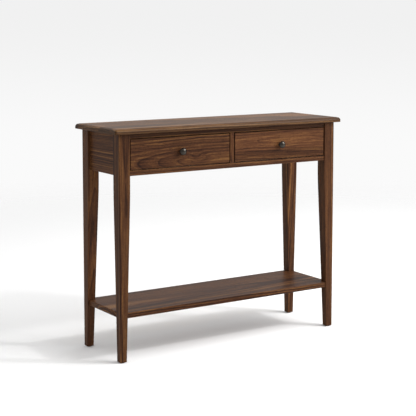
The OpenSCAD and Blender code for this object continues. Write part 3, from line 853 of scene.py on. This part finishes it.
@dataclass
class Knob:
    """A cast knob: a foot, a waisted neck and a domed head with a round rim."""

    side: str
    foot_radius: float = 8.0 * MM
    foot_thickness: float = 1.6 * MM
    neck_radius: float = 5.4 * MM
    neck_start: float = 4.0 * MM
    neck_end: float = 6.5 * MM
    rim_radius: float = 2.6 * MM
    dome_share: float = 0.27      # the part of the knob's length that the dome takes
    steps: int = 48
    # Cast pewter, darkened: nearly black, with a soft grey shine where fingers rub it
    finish: Metal = Metal("antiqued_pewter", "#191715", "#45413c", 0.16, 0.35)

    def profile(self, radius: float, length: float) -> tuple[np.ndarray, np.ndarray, np.ndarray]:
        """The knob's outline from its foot to the top of its dome.

        The neck meets the foot and the head's underside in quarter arches. The rim is part of a
        circle, and the dome is part of a larger one that touches it: its radius is the squares of
        the rim's distance out and of its distance from the tip, less that of the rim's radius,
        over twice the tip's distance from the rim.

        Args:
            radius: The head's radius.
            length: How far the knob stands out.

        Returns:
            Each row's radius, its distance from the drawer front, and how worn it is.
        """
        out = radius - self.rim_radius
        centre = length - self.dome_share * length - self.rim_radius
        tip = length - centre
        dome = (out**2 + tip**2 - self.rim_radius**2) / (2 * (tip - self.rim_radius))
        meet = math.degrees(math.atan2(dome - tip, out))
        back = centre - self.rim_radius
        cos_q, sin_q = arc(0, 90, 7)
        cos_r, sin_r = arc(-90, meet, 12)
        cos_d, sin_d = arc(meet, 89, 14)
        foot, neck = self.foot_radius, self.neck_radius
        small = 0.25 * self.foot_thickness
        cove = foot - 2 * small - neck
        flare = out - neck
        distance = np.concatenate([
            [0.0, self.foot_thickness - small, self.foot_thickness],
            self.foot_thickness + (self.neck_start - self.foot_thickness) * sin_q,
            self.neck_end + (back - self.neck_end) * (1 - cos_q),
            centre + self.rim_radius * sin_r,
            length - dome + dome * sin_d])
        rounds = np.concatenate([
            [foot, foot, foot - small],
            neck + cove * (1 - sin_q) ** 1.5,
            neck + flare * (1 - cos_q) ** 0.5 * sin_q,
            out + self.rim_radius * cos_r,
            dome * cos_d])
        worn = np.concatenate([[0.2, 0.4, 0.3], np.zeros(14), 0.6 * np.clip(cos_r, 0, 1),
                               0.25 + 0.2 * sin_d])
        return rounds, distance, worn

    def build(self, metal: bpy.types.Material) -> bpy.types.Object:
        """Turns the outline about the knob's axis, which points to the front.

        Args:
            metal: The knob's finish.

        Returns:
            The new piece.
        """
        low, high = (np.array(c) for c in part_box(f"{self.side}_knob"))
        rounds, distance, worn = self.profile((high[0] - low[0]) / 2, high[1] - low[1])
        turns = np.linspace(0, 2 * math.pi, self.steps, endpoint=False)
        x = (low[0] + high[0]) / 2 + rounds[:, None] * np.cos(turns)[None]
        z = (low[2] + high[2]) / 2 + rounds[:, None] * np.sin(turns)[None]
        y = np.broadcast_to((high[1] - distance)[:, None], x.shape)
        piece = closed_surface(f"{self.side}_turned_knob", np.stack([x, y, z], axis=-1), worn)
        piece.data.materials.append(metal)
        place(piece, f"{self.side}_knob", f"{self.side}_drawer", "pewter")
        return piece


@dataclass
class Drawer:
    """A drawer: a walnut front dovetailed to maple sides, with a birch bottom and a knob."""

    side: str
    front: Wood
    seed: float                   # for the boards of its box
    ease: float = 1.0 * MM
    box_ease: float = 0.5 * MM

    def dress(self, steel: bpy.types.Material) -> None:
        """Finishes the drawer's boards and screws.

        Args:
            steel: The screws' finish.
        """
        front = f"{self.side}_drawer_front"
        dress(front, self.front.material(front), self.ease)
        plain = {"roughness": 0.55, "wander": 14.0, "ring": 8.0}
        for part in ("outer_side", "inner_side"):
            node = f"{self.side}_drawer_{part}"
            low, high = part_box(node)
            wood = Wood(MAPLE, Grain.CROSSWAYS_UPRIGHT, seed=self.seed + len(part),
                        centre=(0.0, 700.0, (low[0] + high[0]) / 2 / MM), pith=(20.0, 48.0), **plain)
            dress(node, wood.material(node), self.box_ease)
        back = f"{self.side}_drawer_back"
        wood = Wood(MAPLE, Grain.LENGTHWAYS_UPRIGHT, seed=self.seed + 3, centre=(0.0, 715.0, -70.0),
                    pith=(5.0, 50.0), **plain)
        dress(back, wood.material(back), self.box_ease)
        bottom = f"{self.side}_drawer_bottom"
        wood = Wood(BIRCH, Grain.LENGTHWAYS_FLAT, seed=self.seed + 4, centre=(0.0, 0.0, 668.0),
                    pith=(0.0, 90.0), **{**plain, "ring": 16.0})
        dress(bottom, wood.material(bottom))
        for part in ("knob_screw", "bottom_screws"):
            dress(f"{self.side}_{part}", steel)


@dataclass
class Fixings:
    """The screws, dowels and floor glides."""

    def dress(self, steel: bpy.types.Material) -> None:
        """Finishes them.

        Args:
            steel: The screws' finish.
        """
        for node in ("top_screws", "guide_screws"):
            dress(node, steel)
        dowel = Wood(BIRCH, Grain.LENGTHWAYS_FLAT, seed=40.0, roughness=0.6)
        dress("shelf_dowels", dowel.material("dowels"))
        dress("floor_glides", Nylon().material())


# ---------- studio ----------


@dataclass
class Studio:
    """A pale seamless floor, white surroundings, a large soft light and a small crisp one."""

    floor_size: float = 12.0
    floor_fade: tuple[float, float] = (1.6, 4.5)          # distances where the fading starts and ends
    floor_colour: str = "#f4f4f4"
    backdrop_low: str = "#fafafa"
    backdrop_high: str = "#f1f1f1"
    backdrop_span: tuple[float, float] = (-0.11, 0.01)    # sines of the angle over the horizon
    fill: float = 0.8             # strength of the light from all round
    key_place: tuple[float, float, float] = (1.95, -1.8, 2.35)
    light_aim: tuple[float, float, float] = (0.0, 0.0, 0.45)
    key_width: float = 3.0
    key_power: float = 122.0
    spark_place: tuple[float, float, float] = (2.3, -2.1, 2.75)
    spark_width: float = 0.28
    spark_power: float = 45.0
    eye: tuple[float, float, float] = (-2.2986, -3.5123, 1.1528)
    heading: float = 33.0         # degrees to the right of straight ahead
    downward: float = 5.69        # degrees under the horizon
    lens: float = 100.28          # focal length, in millimetres
    lens_shift: float = -0.1683   # share of the frame's width

    def build(self) -> None:
        """Makes the floor, the surroundings, the lights and the camera."""
        self._floor()
        self._surroundings()
        self._light("softbox", self.key_place, self.key_width, self.key_power)
        self._light("spark", self.spark_place, self.spark_width, self.spark_power)
        self._camera()

    def _floor(self) -> None:
        """A flat sheet that fades into the surroundings far from the table."""
        half = self.floor_size / 2
        corners = np.array([[-half, -half, 0], [half, -half, 0], [half, half, 0], [-half, half, 0]])
        mesh = bpy.data.meshes.new("studio_floor")
        mesh.from_pydata(corners, [], [(0, 1, 2, 3)])
        floor = bpy.data.objects.new("studio_floor", mesh)
        bpy.context.scene.collection.objects.link(floor)
        material, tree = new_material("matt_paper")
        where = add(tree, "TexCoord").outputs["Object"]
        far = add(tree, "VectorMath", {"operation": "LENGTH"}, {0: where})
        fade = add(tree, "MapRange", {"From Min": self.floor_fade[0], "From Max": self.floor_fade[1],
                                      "interpolation_type": "SMOOTHSTEP"},
                   {"Value": far.outputs["Value"]})
        paper = add(tree, "BsdfDiffuse", {"Color": linear(self.floor_colour)})
        clear = add(tree, "BsdfTransparent")
        both = add(tree, "MixShader", {}, {0: fade.outputs[0], 1: paper.outputs[0],
                                           2: clear.outputs[0]})
        add(tree, "OutputMaterial", {}, {"Surface": both.outputs[0]})
        mesh.materials.append(material)

    def _surroundings(self) -> None:
        """A backdrop a little darker towards the top, and even white light from all round."""
        world = bpy.data.worlds.new("white_studio")
        world.use_nodes = True
        tree = world.node_tree
        tree.nodes.clear()
        where = add(tree, "TexCoord").outputs["Generated"]
        height = add(tree, "SeparateXYZ", {}, {0: where}).outputs["Z"]
        share = add(tree, "MapRange", {"From Min": self.backdrop_span[0], "From Max": self.backdrop_span[1],
                                       "interpolation_type": "SMOOTHSTEP"}, {"Value": height})
        tint = add(tree, "Mix", {"data_type": "RGBA", 6: linear(self.backdrop_low),
                                 7: linear(self.backdrop_high)}, {"Factor": share.outputs[0]})
        backdrop = add(tree, "Background", {}, {"Color": tint.outputs[2]})
        fill = add(tree, "Background", {"Color": (1.0, 1.0, 1.0, 1.0), "Strength": self.fill})
        seen = add(tree, "LightPath").outputs["Is Camera Ray"]
        both = add(tree, "MixShader", {}, {0: seen, 1: fill.outputs[0], 2: backdrop.outputs[0]})
        add(tree, "OutputWorld", {}, {"Surface": both.outputs[0]})
        bpy.context.scene.world = world

    def _light(self, name: str, place: tuple[float, float, float], width: float, power: float) -> None:
        """A square light that faces the table.

        Args:
            name: Its name.
            place: Where it hangs.
            width: Its side, in metres.
            power: Its power, in watts.
        """
        light = bpy.data.lights.new(name, "AREA")
        light.shape = "SQUARE"
        light.size = width
        light.energy = power
        lamp = bpy.data.objects.new(name, light)
        lamp.location = place
        aim = Vector(self.light_aim) - Vector(place)
        lamp.rotation_euler = aim.to_track_quat("-Z", "Y").to_euler()
        bpy.context.scene.collection.objects.link(lamp)

    def _camera(self) -> None:
        """A long lens at chest height, to the left of the front, shifted down a little."""
        lens = bpy.data.cameras.new("view")
        lens.sensor_width = 36.0
        lens.sensor_fit = "HORIZONTAL"
        lens.lens = self.lens
        lens.shift_y = self.lens_shift
        camera = bpy.data.objects.new("view", lens)
        camera.location = self.eye
        camera.rotation_euler = (math.radians(90 - self.downward), 0.0, math.radians(-self.heading))
        bpy.context.scene.collection.objects.link(camera)
        bpy.context.scene.camera = camera
        bpy.context.scene.view_settings.view_transform = "Standard"


def main() -> None:
    """Builds the table's looks and the studio round it."""
    logging.basicConfig(level=logging.INFO, format="%(name)s: %(message)s")
    Studio().build()
    TableTop().build()
    # The right-hand legs' side faces are painted darker, as painted shade.
    legs = [TaperedLeg("front_left_leg", seed=61.0, tone=0.85),
            TaperedLeg("front_right_leg", seed=62.5, tone=0.98, painted_side_shade=0.85),
            TaperedLeg("rear_left_leg", seed=64.0, tone=1.03),
            TaperedLeg("rear_right_leg", seed=65.5, tone=1.12, painted_side_shade=0.85)]
    for leg in legs:
        leg.build()
    LowerShelf().build(legs[0])
    Carcass().dress()
    DrawerCarriage().dress()

    # Zinc plating: pale grey, satin and a little blue
    steel = Metal("zinc_plated_steel", "#8f9092", "#b4b5b6", 0.34, 0.4).material()
    pewter = Knob.finish.material()
    # The drawer fronts' darkened edges are painted shade in the gaps round them.
    left = Wood(WALNUT, Grain.LENGTHWAYS_UPRIGHT, seed=51.0, centre=(-213.0, 705.0, 120.0), ring=10.0,
                pith=(-30.0, 30.0), lean=0.11, wander=15.0, tone=0.92, knot=(62.0, -16.0, 20.0),
                painted_edge_shade=0.3)
    right = Wood(WALNUT, Grain.LENGTHWAYS_UPRIGHT, seed=112.897, centre=(213.0, 715.0, 120.0), ring=10.0,
                 pith=(20.0, 60.0), lean=0.05, wander=17.0, stave=75.0, stave_spread=0.5, tone=1.06,
                 painted_edge_shade=0.3)
    for side, front, seed in (("left", left, 70.0), ("right", right, 80.0)):
        Drawer(side, front, seed).dress(steel)
        Knob(side).build(pewter)
    Fixings().dress(steel)


if __name__ == "__main__":
    main()
